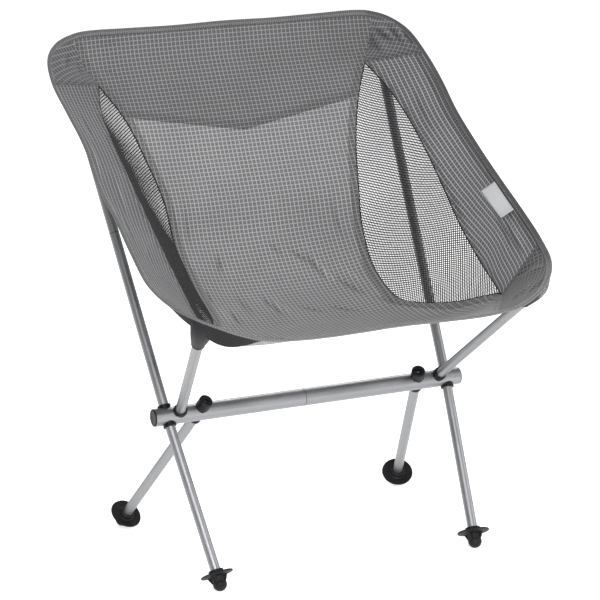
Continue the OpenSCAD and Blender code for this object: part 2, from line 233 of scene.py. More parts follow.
def thicken(obj, thick):
    """Give a sheet its thickness, half on each side."""
    solid = obj.modifiers.new("thickness", "SOLIDIFY")
    solid.thickness = thick * MM
    solid.offset = 0.0
    solid.use_even_offset = False


def frames_along(points, side):
    """Side and normal at each point of a curve, with side kept near the given one."""
    t = unit(np.gradient(points, axis=0))
    n = unit(np.cross(t, side))
    return np.cross(n, t), n


def sweep(name, points, side, section, material):
    """A closed section (a along side, b along the normal) carried along a curve."""
    e, n = frames_along(points, side)
    ring = np.stack([points + a * e + b * n for a, b in section], 1)
    count, cols, _ = ring.shape
    faces = grid_faces(count, cols, around=True)
    faces += [tuple(range(cols))[::-1], tuple((count - 1) * cols + j for j in range(cols))]
    along = np.repeat(arc(points)[:, None], cols, 1)
    across = np.repeat(np.cumsum([0] + [math.dist(section[j], section[j - 1])
                                        for j in range(1, cols)])[None], count, 0)
    return object_from(name, ring.reshape(-1, 3), faces, material,
                       uv=np.stack([across, along], -1).reshape(-1, 2))


def round_section(r, sides=8):
    return [(r * math.cos(2 * math.pi * k / sides), r * math.sin(2 * math.pi * k / sides))
            for k in range(sides)]


def resample(points, step):
    """The same curve with points an even step apart."""
    s = arc(points)
    n = max(2, int(round(s[-1] / step)) + 1)
    at = np.linspace(0, s[-1], n)
    return np.stack([np.interp(at, s, points[:, k]) for k in range(3)], -1)


# A stitch's sections: share of its length, share of its thickness, height in its own radii
STITCH = ((0.0, 0.15, 0.0), (0.25, 1.0, 0.75), (0.75, 1.0, 0.75), (1.0, 0.15, 0.0))
STITCH_SIDES = 5


def stitches(name, lines, material, pitch=3.0, length=2.0, radius=0.28):
    """Rows of separate stitches, each bowed up from the cloth. Each line is (points, normals)."""
    verts, faces = [], []
    for points, normals in lines:
        s = arc(points)
        starts = np.arange(pitch / 2, s[-1] - length, pitch)
        for s0 in starts:
            first = len(verts)
            for share, fat, high in STITCH:
                at = s0 + share * length
                p, q, n = (np.array([np.interp(x, s, row[:, k]) for k in range(3)])
                           for x, row in ((at, points), (at + 0.4, points), (at, normals)))
                n = unit(n)
                e = unit(np.cross(q - p, n))
                p = p + n * radius * high
                for k in range(STITCH_SIDES):
                    turn = 2 * math.pi * k / STITCH_SIDES
                    verts.append(p + radius * fat * (math.cos(turn) * e + math.sin(turn) * n))
            for i in range(len(STITCH) - 1):
                for k in range(STITCH_SIDES):
                    a = first + STITCH_SIDES * i + k
                    b = first + STITCH_SIDES * i + (k + 1) % STITCH_SIDES
                    faces.append((a, b, b + STITCH_SIDES, a + STITCH_SIDES))
            last = first + STITCH_SIDES * (len(STITCH) - 1)
            faces.append(tuple(first + k for k in range(STITCH_SIDES))[::-1])
            faces.append(tuple(last + k for k in range(STITCH_SIDES)))
    return object_from(name, verts, faces, material)


def mirrored(points, sign):
    """Right-hand points for sign 1, left-hand ones for -1."""
    return points * [sign, 1, 1]


def ray_point(x, direction, s):
    """Point s mm along a right-hand pole from the beam's axis."""
    return np.array([x, BEAM_Y, BEAM_Z]) + unit(direction) * s


# ---------------------------------------------------------------- materials
class Nodes:
    """Short names for making shader nodes."""

    def __init__(self, name):
        self.material = bpy.data.materials.new(name)
        self.material.use_nodes = True
        self.tree = self.material.node_tree
        self.shader = self.tree.nodes["Principled BSDF"]

    def put(self, target, value):
        if isinstance(value, bpy.types.NodeSocket):
            self.tree.links.new(value, target)
        elif isinstance(value, tuple) and len(value) == 3 and target.type == "RGBA":
            target.default_value = (*value, 1.0)
        else:
            target.default_value = value

    def node(self, kind, **settings):
        made = self.tree.nodes.new(kind)
        for key, value in settings.items():
            setattr(made, key, value)
        return made

    def math(self, kind, a, b=0.0, c=0.0):
        n = self.node("ShaderNodeMath", operation=kind)
        for slot, value in zip(n.inputs, (a, b, c)):
            self.put(slot, value)
        return n.outputs[0]

    def vector(self, kind, a, b=(0, 0, 0), scale=1.0):
        n = self.node("ShaderNodeVectorMath", operation=kind)
        self.put(n.inputs[0], a)
        self.put(n.inputs[1], b)
        if kind == "SCALE":
            self.put(n.inputs["Scale"], scale)
        return n.outputs["Value"] if kind == "DOT_PRODUCT" else n.outputs[0]

    def span(self, value, low, high, to_low=0.0, to_high=1.0, smooth=True):
        n = self.node("ShaderNodeMapRange",
                      interpolation_type="SMOOTHSTEP" if smooth else "LINEAR")
        for slot, v in zip(n.inputs, (value, low, high, to_low, to_high)):
            self.put(slot, v)
        return n.outputs[0]

    def noise(self, vector, scale, detail=3.0, rough=0.55):
        n = self.node("ShaderNodeTexNoise")
        self.put(n.inputs["Vector"], vector)
        self.put(n.inputs["Scale"], scale)
        self.put(n.inputs["Detail"], detail)
        self.put(n.inputs["Roughness"], rough)
        return n.outputs["Fac"]

    def blend(self, share, a, b):
        n = self.node("ShaderNodeMix", data_type="RGBA")
        self.put(n.inputs[0], share)
        self.put(n.inputs[6], a)
        self.put(n.inputs[7], b)
        return n.outputs[2]

    def bump(self, height, distance, strength=1.0, below=None):
        n = self.node("ShaderNodeBump")
        self.put(n.inputs["Height"], height)
        n.inputs["Distance"].default_value = distance
        n.inputs["Strength"].default_value = strength
        if below is not None:
            self.put(n.inputs["Normal"], below)
        return n.outputs[0]

    def set(self, **values):
        for key, value in values.items():
            self.put(self.shader.inputs[key.replace("_", " ")], value)

    def coords(self):
        return self.node("ShaderNodeTexCoord").outputs["Object"]

    def attribute(self, name):
        return self.node("ShaderNodeAttribute", attribute_name=name).outputs["Fac"]


def cloth_weave(g, yarn):
    """Height of a plain weave, from 0 to 1, and the flat map's two coordinates in metres."""
    split = g.node("ShaderNodeSeparateXYZ")
    g.put(split.inputs[0], g.node("ShaderNodeUVMap", uv_map="cloth").outputs[0])
    waves = [g.math("SINE", g.math("MULTIPLY", split.outputs[k], 2 * math.pi / (yarn * MM)))
             for k in (0, 1)]
    return g.math("MULTIPLY_ADD", g.math("MULTIPLY", *waves), 0.5, 0.5), split.outputs


def ripstop(name, ground, thread, pitch=(5.9, 5.7), line=0.62, painted_shade_dark=0.74, cross=0.85):
    """Fine plain weave with a raised lighter yarn grid, pitch and line width in mm."""
    g = Nodes(name)
    weave, flat = cloth_weave(g, 0.42)
    place = g.coords()
    wander = g.math("MULTIPLY", g.math("SUBTRACT", g.noise(place, 90.0, 2.0), 0.5), 0.12)
    masks = []
    for axis, step in enumerate(pitch):
        turns = g.math("ADD", g.math("DIVIDE", flat[axis], step * MM), wander)
        off = g.math("MULTIPLY", g.math("PINGPONG", turns, 0.5), step)
        masks.append(g.span(off, line * 0.55, line * 1.25, 1.0, 0.0))
    grid = g.math("MAXIMUM", masks[0], g.math("MULTIPLY", masks[1], cross))
    fleck = g.span(g.noise(place, 1500.0, 2.0, 0.7), 0.3, 0.7, -0.10, 0.10)
    cloud = g.span(g.noise(place, 14.0, 3.0), 0.3, 0.7, -0.05, 0.05)
    shade = g.math("ADD", g.math("ADD", fleck, cloud), g.span(weave, 0.0, 1.0, -0.06, 0.06))
    shade = g.math("ADD", shade, 1.0)
    # Painted shade and painted highlight: the cloth's shade attribute scales the colour, darker
    # towards 1 and lighter towards -1.
    fold_and_painted_shade = g.span(g.attribute("fold_and_painted_shade"), -1.0, 1.0, 2.0 - painted_shade_dark, painted_shade_dark, smooth=False)
    tint = g.vector("SCALE", g.blend(grid, ground, thread), scale=g.math("MULTIPLY", shade, fold_and_painted_shade))
    g.set(Base_Color=tint, Sheen_Weight=0.2, Sheen_Roughness=0.5, Specular_IOR_Level=0.35)
    g.set(Roughness=g.span(grid, 0.0, 1.0, 0.72, 0.5))
    low = g.bump(weave, 0.00009, 0.5)
    g.set(Normal=g.bump(grid, 0.00028, 0.8, low))
    return g.material


def plain_cloth(name, colour, light, yarn=0.55, rough=0.75, sheen=0.2):
    """Close plain weave without a grid, for tape, pockets, the net's threads and the label."""
    g = Nodes(name)
    weave, _ = cloth_weave(g, yarn)
    place = g.coords()
    fleck = g.noise(place, 1100.0, 3.0, 0.7)
    cloud = g.span(g.noise(place, 30.0, 3.0), 0.3, 0.7, 0.0, 0.2)
    share = g.math("ADD", g.math("MULTIPLY", weave, 0.45),
                   g.math("ADD", g.span(fleck, 0.3, 0.7, 0.0, 0.35), cloud))
    g.set(Base_Color=g.blend(share, colour, light), Sheen_Weight=sheen, Sheen_Roughness=0.5,
          Roughness=g.span(fleck, 0.3, 0.7, rough - 0.08, rough + 0.08), Specular_IOR_Level=0.2)
    g.set(Normal=g.bump(weave, 0.00012, 0.7))
    return g.material


def thread_material(name, colour, light):
    """Twisted sewing thread."""
    g = Nodes(name)
    place = g.coords()
    twist = g.noise(place, 2500.0, 2.0, 0.6)
    g.set(Base_Color=g.blend(g.span(twist, 0.35, 0.65), colour, light), Roughness=0.55,
          Sheen_Weight=0.3)
    g.set(Normal=g.bump(twist, 0.0001, 0.6))
    return g.material


def aluminium(name, direction):
    """Satin anodised tube, brushed along its length, with faint rubs and dust."""
    g = Nodes(name)
    axis = tuple(float(x) for x in unit(direction))
    place = g.coords()
    along = g.vector("DOT_PRODUCT", place, axis)
    flat = g.vector("SCALE", axis, scale=g.math("MULTIPLY", along, -0.985))
    drawn = g.vector("ADD", place, flat)
    hair = g.noise(drawn, 2600.0, 3.0, 0.65)
    streak = g.noise(drawn, 420.0, 2.0, 0.5)
    dull = g.noise(place, 22.0, 4.0, 0.6)
    rub = g.span(g.noise(place, 160.0, 4.0, 0.7), 0.62, 0.78)
    tone = g.math("ADD", g.span(hair, 0.3, 0.7, -0.04, 0.04),
                  g.span(streak, 0.35, 0.65, -0.025, 0.025))
    tone = g.math("ADD", g.math("ADD", tone, 1.0), g.span(dull, 0.3, 0.7, -0.03, 0.03))
    g.set(Base_Color=g.vector("SCALE", (0.315, 0.32, 0.33), scale=tone), Metallic=1.0,
          Anisotropic=0.15)
    spread = g.math("ADD", g.span(hair, 0.3, 0.7, 0.40, 0.48), g.math("MULTIPLY", rub, 0.06))
    g.set(Roughness=g.math("ADD", spread, g.span(dull, 0.35, 0.65, -0.03, 0.05)))
    g.set(Normal=g.bump(hair, 0.00001, 0.35))
    return g.material


def moulded(name, colour, light, rough=0.5, grain=900.0):
    """Moulded plastic or rubber: fine pebble, soft variation, lighter rubs on raised places."""
    g = Nodes(name)
    place = g.coords()
    pebble = g.noise(place, grain, 2.0, 0.5)
    cloud = g.noise(place, 60.0, 3.0)
    worn = g.span(g.noise(place, 260.0, 5.0, 0.75), 0.56, 0.74)
    raised = g.span(g.node("ShaderNodeNewGeometry").outputs["Pointiness"], 0.5, 0.58)
    share = g.math("MULTIPLY_ADD", g.math("MULTIPLY", worn, raised), 0.35,
                   g.span(cloud, 0.3, 0.7, 0.0, 0.22))
    g.set(Base_Color=g.blend(share, colour, light), Specular_IOR_Level=0.17)
    g.set(Roughness=g.math("ADD", g.span(pebble, 0.3, 0.7, rough - 0.06, rough + 0.08),
                           g.math("MULTIPLY", worn, 0.1)))
    g.set(Normal=g.bump(pebble, 0.00006, 0.8))
    return g.material


def braid(name):
    """Braided elastic cord."""
    g = Nodes(name)
    place = g.coords()
    strand = g.noise(place, 1800.0, 2.0, 0.6)
    g.set(Base_Color=g.blend(g.span(strand, 0.4, 0.6), (0.05, 0.05, 0.055), (0.30, 0.30, 0.32)),
          Roughness=0.8, Sheen_Weight=0.3)
    g.set(Normal=g.bump(strand, 0.0002, 0.8))
    return g.material


MAT_CENTRE = ripstop("ripstop_centre", (0.138, 0.137, 0.142), (0.375, 0.375, 0.380),
                     line=0.66, painted_shade_dark=0.66)
MAT_HEAD = ripstop("ripstop_headrest", (0.084, 0.084, 0.087), (0.262, 0.262, 0.268), line=0.52)
MAT_WING = ripstop("ripstop_wing", (0.083, 0.082, 0.088), (0.375, 0.372, 0.386),
                   pitch=(6.3, 5.4), line=0.64, cross=0.42, painted_shade_dark=0.6)
MAT_CORNER = ripstop("ripstop_corner", (0.064, 0.063, 0.067), (0.200, 0.200, 0.207),
                     pitch=(6.0, 5.6), line=0.55, painted_shade_dark=0.6)
MAT_HEM = ripstop("ripstop_hem", (0.105, 0.104, 0.108), (0.265, 0.265, 0.270),
                  pitch=(5.8, 3.1), line=0.5, painted_shade_dark=0.3)
MAT_NET = plain_cloth("net_thread", (0.012, 0.012, 0.013), (0.034, 0.034, 0.036),
                      yarn=0.4, sheen=0.04)
MAT_TAPE = plain_cloth("seam_tape", (0.008, 0.008, 0.009), (0.026, 0.026, 0.028), sheen=0.03)
MAT_POCKET = plain_cloth("pocket_cloth", (0.005, 0.005, 0.006), (0.022, 0.022, 0.025),
                         yarn=0.5, rough=0.55, sheen=0.05)
MAT_LABEL = plain_cloth("label_cloth", (0.42, 0.43, 0.44), (0.58, 0.59, 0.60), yarn=0.35, rough=0.6)
MAT_THREAD = thread_material("grey_thread", (0.16, 0.16, 0.165), (0.42, 0.42, 0.43))
MAT_THREAD_DARK = thread_material("dark_thread", (0.02, 0.02, 0.022), (0.10, 0.10, 0.105))
MAT_PLASTIC = moulded("black_nylon", (0.006, 0.006, 0.007), (0.040, 0.040, 0.043), rough=0.38)
MAT_RUBBER = moulded("black_rubber", (0.008, 0.008, 0.009), (0.042, 0.042, 0.044), grain=650.0)
MAT_CORD = braid("elastic_cord")


# ---------------------------------------------------------------- sling
BAND = 11.0  # width of the folded band beside a seam
IN_HEM = 4.0  # how far a panel reaches into the hem
TOP_V, BOTTOM_V = 0.12, 12.93  # first and last places of the middle panels, within the hem
YOKE_PLACE = 46.0  # mm of cloth from one place to the next, near the yoke seam
FOLD_GAIN = 1.7  # folds are made this many times as high as listed
# Columns: distances from the seam, dense where the band ends, then shares across the rest
SEAM_COLUMNS = np.array([0, 0.8, 1.8, 3.2, 5, 7, 8.8, 10.2, 10.8, 11.2, 11.8, 13])
INNER_COLUMNS = np.linspace(1, 0, 44)[1:]
HALF_COLUMNS = len(SEAM_COLUMNS) + len(INNER_COLUMNS)


def middle_shares(half):
    """Signed share across at each column, from one seam to the other, for half widths in mm."""
    near = 1 - SEAM_COLUMNS / half[:, :len(SEAM_COLUMNS)]
    rest = (1 - SEAM_COLUMNS[-1] / half[:, len(SEAM_COLUMNS):HALF_COLUMNS]) * INNER_COLUMNS
    right = np.concatenate([near, rest], 1)
    return np.concatenate([right, -right[:, -2::-1]], 1)


def pucker(grid, near, seed):
    """Small ripples that die away from a sewn line, and a slow unevenness all over."""
    ripple = noise_at(grid, 7.0, seed) * np.exp(-near / 6.0) * 0.42
    return ripple + noise_at(grid, 38.0, seed + 3.7) * 0.55 * ease(near / 25.0)


# Folds as (x0, y0, x1, y1, width, height): x across, and y down the cloth from the panel's top
CENTRE_CREASES = [
    (46, 196, 66, 262, 2.8, 2.0), (54, 206, 78, 270, 3.2, -1.5), (22, 192, 56, 228, 2.8, 1.5),
    (-38, 254, -24, 326, 2.8, 2.0), (-28, 262, -12, 330, 3.4, -1.4),
    (-94, 288, -90, 344, 2.8, 2.0), (-104, 282, -102, 340, 3.2, -1.2),
    (-113, 246, -110, 290, 2.6, 1.4), (-72, 188, -80, 230, 4.0, 1.3), (-4, 294, 38, 326, 2.8, 1.6),
    (0, 180, 18, 212, 3.4, 1.0), (-68, 252, -66, 322, 3.0, 1.5), (70, 236, 104, 312, 3.0, 1.6),
    (86, 226, 112, 286, 3.4, -1.2), (30, 300, 84, 338, 3.4, 1.3), (96, 120, 106, 210, 3.0, 1.0),
    (-108, 110, -112, 200, 3.0, 0.9), (104, 300, 130, 352, 3.0, 1.3)]
HEAD_CREASES = [
    (-196, 20, -130, 12, 3.0, 0.7), (140, 10, 202, 22, 2.6, -1.0), (150, 22, 198, 44, 2.4, 1.0),
    (120, 6, 170, 30, 3.5, 0.8), (160, 30, 186, 74, 3.0, 0.9), (-186, 44, -150, 70, 3.0, 0.6),
    (-30, 8, 60, 6, 3.4, 0.4)]


def build_middle():
    """The headrest and the centre panel, which meet along the shallow V."""
    line_v = np.linspace(0, SEAM_END, 400)
    length_v = arc(middle(np.zeros(400), line_v))
    made = {}
    for name, rows, creased, material in (("headrest", 46, HEAD_CREASES, MAT_HEAD),
                                          ("centre", 190, CENTRE_CREASES, MAT_CENTRE)):
        head = name == "headrest"
        t = np.linspace(0, 1, rows)
        guess = mix(TOP_V, HEADREST_SEAM, t) if head else mix(HEADREST_SEAM, BOTTOM_V, t)
        u = middle_shares(np.repeat(spline(SEAM, guess)[:, :1], HALF_COLUMNS, 1))
        if head:
            v = mix(TOP_V, headrest_seam(u) + 0.05, t[:, None])
        else:
            v = mix(headrest_seam(u) - 0.03, BOTTOM_V, t[:, None])
        half = spline(SEAM, v)[..., 0]
        u = middle_shares(half)
        grid = middle(u, v)
        x = grid[..., 0]
        y = np.interp(v, line_v, length_v)
        start = 0.0 if head else np.interp(HEADREST_SEAM, line_v, length_v)
        from_seam = (1 - np.abs(u)) * half
        from_yoke = np.abs(v - headrest_seam(u)) * YOKE_PLACE
        folds = FOLD_GAIN * creases(x, y - start, creased)
        relief = folds + pucker(grid, np.minimum(from_seam, from_yoke), 11.3)
        band = ease((BAND - from_seam) / 0.6)
        lap = (0.5 if head else -0.1) * ease(1 - from_yoke / 10.0)
        grid = grid + (relief - 0.45 * band - lap)[..., None] * outward(grid)
        # Painted shade: the band beside the seams, a strip of the headrest along the V seam, a
        # patch at the headrest's right end and the last 30 mm of the centre panel are darkened;
        # fold_shade adds painted shade in fold hollows and painted highlights on ridges.
        if head:
            painted_corner_shade = ease((x - 120) / 60) * ease(y / 14) * (1 - ease((y - 58) / 26))
            yoke = ease((7.0 - from_yoke) / 0.8)
            fold_and_painted_shade = np.maximum(np.maximum(band * 0.7, yoke * 0.6), 0.6 * painted_corner_shade)
        else:
            fold_and_painted_shade = np.maximum(band, 0.25 * ease((y - length_v[-1] + 30.0) / 30.0))
        made[name] = cloth_piece(name + "_cloth", grid, material, np.stack([x, y], -1),
                                 {"fold_and_painted_shade": fold_shade(fold_and_painted_shade, folds)})
    return made


sling = build_middle()
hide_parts("centre_panel")
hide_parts("headrest_panel")

# The wing's folds: x from the outer edge, y from the back
WING_CREASES = {
    "right": [(17, 4, 15, 120, 2.4, 1.4), (15, 110, 12, 240, 2.4, 1.5),
              (16, 220, 12, 304, 2.6, 1.6), (34, 318, 39, 402, 2.8, 2.4),
              (28, 326, 32, 400, 2.8, -1.6), (10, 334, 10, 396, 2.6, 2.0),
              (44, 300, 48, 382, 2.8, 2.2), (52, 310, 56, 380, 3.2, -1.5),
              (24, 270, 22, 380, 3.0, 1.4), (64, 190, 90, 292, 3.4, 1.2),
              (40, 40, 44, 150, 4.0, 0.9)],
    "left": [(30, 30, 18, 150, 3.0, 1.1), (44, 120, 36, 260, 3.0, -1.2),
             (20, 200, 28, 330, 2.8, 1.3), (50, 270, 46, 352, 2.8, 1.2),
             (12, 90, 14, 200, 2.8, -1.0)]}


def build_wing(side, sign):
    """The side panel, from its folded band beside the net to the hem."""
    rows = 150
    v = np.linspace(0, 1, rows)[:, None]
    inner, outer = wing_inner(v[:, 0]), wing_outer(v[:, 0])
    width = np.linalg.norm(outer - inner, axis=1)[:, None]
    near = np.array([0, 0.8, 2, 4, 6, 7.3, 7.8, 8.2, 8.8, 10])
    rest = np.linspace(0, 1, 44)[1:]
    offset = np.concatenate([np.repeat(near[None], rows, 0),
                             mix(near[-1], width - IN_HEM, rest[None])], 1)
    w = offset / width
    vv = np.repeat(v, w.shape[1], 1)
    grid = wing_inner(vv) * (1 - w[..., None]) + wing_outer(vv) * w[..., None]
    along = np.interp(vv, v[:, 0], arc((inner + outer) / 2))
    x = width - offset
    folds = FOLD_GAIN * creases(x, along, WING_CREASES[side])
    relief = folds + pucker(grid, np.minimum(offset, x), 23.1)
    fold_and_painted_shade = ease((8.0 - offset) / 0.5)
    grid = grid + (relief - 0.45 * fold_and_painted_shade)[..., None] * outward(grid)
    # Painted shade: the band beside the net, a strip along the right wing's outer edge and, a
    # little, the whole left wing are darkened; fold_shade adds painted shade in fold hollows and
    # painted highlights on ridges.
    fold_and_painted_shade = np.maximum(fold_and_painted_shade * 0.55, 0.9 * ease((19.0 - x) / 1.6) * (side == "right"))
    if side == "left":
        fold_and_painted_shade = mix(0.6, 1.0, fold_and_painted_shade)
    fold_and_painted_shade = fold_shade(fold_and_painted_shade, folds)
    made = cloth_piece("wing_cloth_" + side, mirrored(grid, sign), MAT_WING,
                       np.stack([x * sign, along], -1), {"fold_and_painted_shade": fold_and_painted_shade})
    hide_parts("wing_" + side)
    return made


NET_STEP = 2.05  # half a diamond, along and across
NET_OPEN = 0.59  # width of a hole as a share of its diamond


def build_net(side, sign):
    """Open net: a lattice of diamonds, each with its own hole."""
    fine = np.linspace(0.012, 0.985, 500)
    mid = (mesh_inner(fine) + wing_inner(fine)) / 2
    length = arc(mid)
    rows = int(length[-1] / NET_STEP)
    v = np.interp(np.arange(rows + 1) * NET_STEP, length, fine)
    a, b = mesh_inner(v), wing_inner(v)
    width = np.linalg.norm(b - a, axis=1)
    reach = int(width.max() / 2 / NET_STEP) + 2
    cols = np.arange(-reach, reach + 1)
    offset = np.clip(cols[None] * NET_STEP, -width[:, None] / 2, width[:, None] / 2)
    w = 0.5 + offset / width[:, None]
    points = a[:, None] * (1 - w[..., None]) + b[:, None] * w[..., None]
    free = 1 - (2 * w - 1) ** 2
    sag = 1.6 * free * ease(width / 60)[:, None]
    points = points + sag[..., None] * outward(points)
    points = points + (noise_at(points, 30.0, 5.5) * 0.5 * free)[..., None] * outward(points)
    index, verts, uv = {}, [], []

    def corner(i, j):
        if (i, j) not in index:
            index[i, j] = len(verts)
            verts.append(points[i, j])
            uv.append((offset[i, j], i * NET_STEP))
        return index[i, j]

    faces = []
    for i in range(1, rows):
        for j in range(1, len(cols) - 1):
            if (i + j) % 2 == 0:
                continue
            ring = [(i - 1, j), (i, j + 1), (i + 1, j), (i, j - 1)]
            span = [offset[q] for q in ring]
            if max(span) - min(span) < 0.6 * NET_STEP:
                continue
            outer_ids = [corner(*q) for q in ring]
            centre = sum(points[q] for q in ring) / 4
            first = len(verts)
            for q in ring:
                verts.append(centre + (points[q] - centre) * NET_OPEN)
                uv.append((offset[q] * NET_OPEN, i * NET_STEP))
            for k in range(4):
                m = (k + 1) % 4
                faces.append((outer_ids[k], outer_ids[m], first + m, first + k))
    if sign < 0:
        faces = [f[::-1] for f in faces]
    made = object_from("net_" + side, mirrored(np.array(verts), sign), faces, MAT_NET,
                       uv=np.array(uv) + 40)
    thicken(made, 0.34)
    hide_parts("mesh_" + side)
    return made


# The corner patches' folds: x from the seam with the middle panels, y from the seam with the wing
TOP_CREASES = {
    "right": [(0, 66, 46, 18, 2.6, 2.4), (10, 62, 52, 20, 2.8, -1.8), (26, 58, 56, 12, 2.6, 2.4),
              (36, 56, 62, 12, 2.6, -1.6), (46, 48, 69, 9, 2.6, 2.2), (0, 58, 24, 4, 3.0, 1.8),
              (2, 66, 8, 13, 2.8, 1.5), (12, 44, 34, 8, 3.0, -1.4)],
    "left": [(10, 60, 44, 20, 2.8, 1.0), (26, 56, 52, 14, 2.6, -0.8), (4, 56, 22, 8, 2.8, 0.9)]}
FRONT_CREASES = {
    "right": [(22, 2, 70, 22, 2.8, 2.0), (24, 96, 72, 52, 2.8, 1.8), (6, 94, 42, 60, 2.8, 2.0),
              (36, 118, 66, 70, 2.6, 1.6), (14, 84, 52, 50, 3.0, -1.5),
              (30, 18, 76, 38, 3.2, -1.4)],
    "left": [(8, 14, 50, 34, 2.8, 1.2), (12, 44, 58, 60, 2.8, -1.2), (18, 66, 60, 84, 2.8, 1.2)]}


def build_corner(side, sign, kind):
    """The patch over a pole's end, its grid turned against the panels beside it."""
    inner_fn, outer_fn = (top_inner, top_outer) if kind == "back" else (front_inner, front_outer)
    last = 0.97 if kind == "back" else 0.985
    rows, cols = 60, 44
    v = np.linspace(0.0, last, rows)
    a, b = inner_fn(v), outer_fn(v)
    width = np.linalg.norm(b - a, axis=1)
    hem = np.minimum(IN_HEM, 0.5 * width)
    w = np.linspace(0, 1, cols)[None] * (1 - hem / width)[:, None]
    vv = np.repeat(v[:, None], cols, 1)
    grid = inner_fn(vv) * (1 - w[..., None]) + outer_fn(vv) * w[..., None]
    x = w * width[:, None]
    y = np.interp(vv, v, arc((a + b) / 2))
    lines = (TOP_CREASES if kind == "back" else FRONT_CREASES)[side]
    near = np.minimum(x, np.minimum(y, width[:, None] - x))
    folds = FOLD_GAIN * creases(x, y, lines)
    relief = folds + pucker(grid, near, 31.0 if kind == "back" else 37.0)
    # Painted shade: a strip beside the seam with the wing and the whole front right patch are
    # darkened; fold_shade adds painted shade in fold hollows and painted highlights on ridges.
    fold_and_painted_shade = ease((7.0 - y) / 0.8) * 0.5
    if (kind, side) == ("front", "right"):
        fold_and_painted_shade = mix(0.6, 1.0, fold_and_painted_shade)
    fold_and_painted_shade = fold_shade(fold_and_painted_shade, folds)
    grid = grid + (relief - 0.5 * ease((7.0 - y) / 0.8))[..., None] * outward(grid)
    turn = math.radians(24 if kind == "back" else -32)
    uv = np.stack([x * math.cos(turn) - y * math.sin(turn),
                   x * math.sin(turn) + y * math.cos(turn)], -1)
    made = cloth_piece(f"{kind}_corner_{side}", mirrored(grid, sign), MAT_CORNER,
                       uv * [sign, 1], {"fold_and_painted_shade": fold_and_painted_shade})
    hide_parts(f"{kind}_pocket_{side}")
    return made, grid


RIM_SECTION = ((-1.8, -0.5), (1.8, -0.5), (2.1, 0), (1.8, 0.75), (-1.8, 0.75), (-2.1, 0))


def build_cone(side, sign, kind, patch):
    """Pocket on a pole's end: doubled cloth from its mouth, over the tip, to the corner patch."""
    x, direction, tip, mouth, reach = (
        (BACK_X, BACK_DIR, BACK_TIP, BACK_TIP - 50, 20.0) if kind == "back"
        else (SEAT_X, SEAT_DIR, SEAT_TIP, SEAT_TIP - 37.5, 16.0))
    axis = unit(direction)
    centre = ray_point(x, direction, mouth)
    end = ray_point(x, direction, tip)
    target = patch + (CLOTH_MID + 0.7) * outward(patch)
    flat = target.reshape(-1, 3)

    def on_patch(p):
        return flat[np.argmin(np.linalg.norm(flat - p, axis=1))]

    home = on_patch(end)
    normal = outward(home)
    e = unit(np.cross(axis, normal))
    f = np.cross(e, axis)
    slide = unit(axis - (axis @ normal) * normal)
    sides, steps = 56, 26
    ring, goals = [], []
    for k in range(sides):
        turn = 2 * math.pi * k / sides
        c, d_out = math.cos(turn), math.sin(turn)
        d = c * e + d_out * f
        long = 1.0 if d_out > 0 else 1.3
        goals.append(on_patch(home + reach * (c * e + d_out * slide * long)))
        ring.append((centre + d * (POLE_R + 1.3), d, float(ease(0.5 + 0.9 * d_out))))
    goals = np.array(goals)
    for _ in range(4):
        goals = (2 * goals + np.roll(goals, 1, 0) + np.roll(goals, -1, 0)) / 4
    goals = np.array([on_patch(g) for g in goals])
    verts, uv = [], []
    for i in range(steps + 1):
        t = i / steps
        for k, (start, d, over) in enumerate(ring):
            turn = 2 * math.pi * k / sides
            flat_mid = (start + goals[k]) / 2 + d * 1.5
            mid = mix(flat_mid, end + axis * 5.0 + d * 15.5, over)
            p = start * (1 - t) ** 2 + mid * 2 * t * (1 - t) + goals[k] * t * t
            gather = d * 0.5 * math.cos(8 * turn + 0.6) * (1 - t) ** 2 * min(1, 6 * t)
            verts.append(p + gather)
            uv.append((k * 1.6, t * 52))
    made = object_from(f"{kind}_pocket_cone_{side}", mirrored(np.array(verts), sign),
                       grid_faces(steps + 1, sides, around=True), MAT_POCKET, uv=uv)
    if (kind, side) == ("front", "right"):
        made.data.materials.append(MAT_CORNER)
        for face in made.data.polygons:
            face.material_index = int(face.index >= 0.42 * len(made.data.polygons))
    thicken(made, 0.8)
    loop = np.array([r[0] for r in ring + ring[:1]])
    rim = sweep(f"{kind}_pocket_rim_{side}", mirrored(loop, sign),
                mirrored(np.repeat(axis[None], len(loop), 0), sign), RIM_SECTION, MAT_TAPE)
    return made, rim


# Across the hem: distance in from the edge, and height away from the sitter
HEM_STITCH = 6.4
HEM_SECTION = [
    (0.0, 0.8), (0.25, 0.0), (0.9, -0.5), (2.2, -0.85), (4.4, -0.9), (5.8, -0.62),
    (HEM_STITCH, -0.2), (7.0, -0.5), (7.9, -0.45), (8.5, 0.15), (8.5, 1.45), (7.9, 2.0),
    (7.0, 2.05), (HEM_STITCH, 1.78), (5.8, 2.1), (4.4, 2.4), (2.2, 2.35), (0.9, 2.1), (0.25, 1.6)]


def hem_frame(s):
    p = edge(s)
    t = unit(edge(s + 0.02) - edge(s - 0.02))
    out = outward(p)
    return p, unit(np.cross(t, out)), out


def painted_hem_shade(a):
    """Painted shade across the hem: at its turned edge, in its row of stitches and on its inner
    side.
    """
    return 0.3 if a < 0.5 else 1.0 if a > 8.2 else 0.75 if a == HEM_STITCH else 0.0


